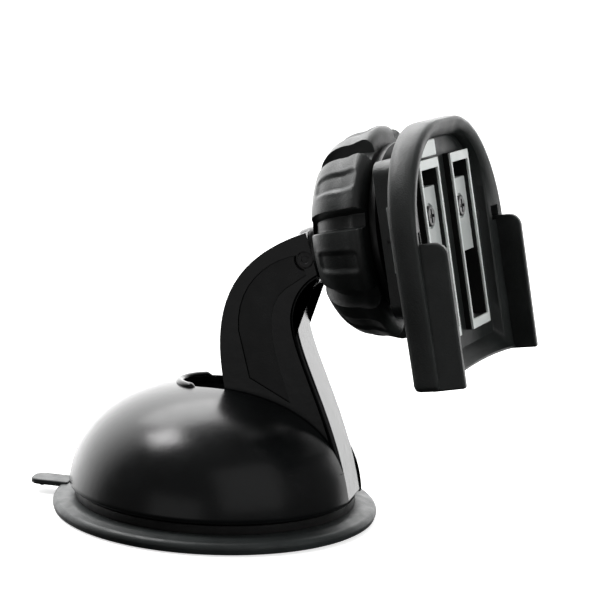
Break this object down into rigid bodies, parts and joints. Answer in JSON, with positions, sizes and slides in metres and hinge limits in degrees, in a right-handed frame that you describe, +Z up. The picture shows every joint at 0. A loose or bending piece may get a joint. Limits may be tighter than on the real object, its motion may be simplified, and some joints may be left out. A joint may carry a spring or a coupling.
{
  "type": "gps navigator suction mount",
  "caption": "Suction cup mount with a lever arm, a lockable ball joint and an arched cradle for a portable navigator.",
  "frame": {"origin": "centre of the suction pad's underside", "axes": "+Z up out of the dome, +X the way the arm and cradle reach, +Y to the left seen from behind the cradle"},
  "size_m": [0.1225, 0.08, 0.1006],
  "materials": {
    "pad_rubber": "matt, lightly grained",
    "inner_plastic": "matt",
    "bridge_steel": "pressed, plain",
    "spring_steel": "bright wire",
    "housing_gloss": "high gloss",
    "pin_steel": "ground",
    "screw_steel": "zinc plated",
    "arm_gloss": "gloss",
    "panel_satin": "satin",
    "stud_plastic": "satin",
    "screw_black": "blackened",
    "liner_white": "plain moulded",
    "socket_plastic": "fine grain",
    "ring_nylon": "plain moulded",
    "nut_plastic": "fine grain",
    "plate_grey": "plain moulded",
    "cradle_plastic": "fine grain",
    "rail_grey": "plain moulded"
  },
  "bodies": {
    "base": {"suction_pad": "pad_rubber", "pad_membrane": "pad_rubber", "base_ring": "inner_plastic", "guide_bridge": "bridge_steel", "return_spring": "spring_steel", "dome_left": "housing_gloss", "dome_right": "housing_gloss", "lever_pin": "pin_steel", "housing_screws": "screw_steel"},
    "puller": {"core_plate": "inner_plastic", "pull_post": "inner_plastic", "lift_pin": "pin_steel"},
    "arm": {"arm_body": "arm_gloss", "arm_panel_left": "panel_satin", "arm_panel_right": "panel_satin", "arm_strap": "arm_gloss", "ball_stud": "stud_plastic", "stud_screw": "screw_black", "stud_nut": "screw_steel"},
    "pan_seat": {"liner_front": "liner_white"},
    "tilt_seat": {"liner_rear": "liner_white"},
    "head": {"ball_socket": "socket_plastic", "mount_plate": "plate_grey", "plate_screws": "screw_black", "cradle": "cradle_plastic", "cradle_screws": "screw_black", "rail_left": "rail_grey", "rail_right": "rail_grey"},
    "clamp": {"clamp_ring": "ring_nylon"},
    "nut": {"clamp_nut": "nut_plastic"}
  },
  "joints": [
    {"name": "lever_swing", "type": "hinge", "parent": "base", "child": "arm", "pos_m": [0.005, 0, 0.02], "axis": [0, -1, 0], "range_deg": [0, 28]},
    {"name": "post_lift", "type": "slide", "parent": "base", "child": "puller", "axis": [0, 0, 1], "range_m": [-0.00249, 0], "deforming": ["return_spring", "pad_membrane"]},
    {"name": "ball_pan", "type": "hinge", "parent": "arm", "child": "pan_seat", "pos_m": [0.0388, 0, 0.072], "axis": [0, 0, 1], "range_deg": [-8, 22]},
    {"name": "ball_tilt", "type": "hinge", "parent": "pan_seat", "child": "tilt_seat", "pos_m": [0.0388, 0, 0.072], "axis": [-0.1513, -0.9885, 0], "range_deg": [-8, 24]},
    {"name": "head_spin", "type": "hinge", "parent": "tilt_seat", "child": "head", "pos_m": [0.0388, 0, 0.072], "axis": [0.9683, -0.1482, 0.2011], "continuous": true},
    {"name": "clamp_travel", "type": "slide", "parent": "head", "child": "clamp", "axis": [-0.9683, 0.1482, -0.2011], "range_m": [0, 0.001]},
    {"name": "nut_turn", "type": "hinge", "parent": "head", "child": "nut", "pos_m": [0.0388, 0, 0.072], "axis": [0.9683, -0.1482, 0.2011], "range_deg": [0, 120]}
  ],
  "couplings": [
    {"joint": "post_lift", "follows": "lever_swing", "m_per_rad": -0.005075},
    {"joint": "clamp_travel", "follows": "nut_turn", "m_per_rad": 0.0004775}
  ]
}
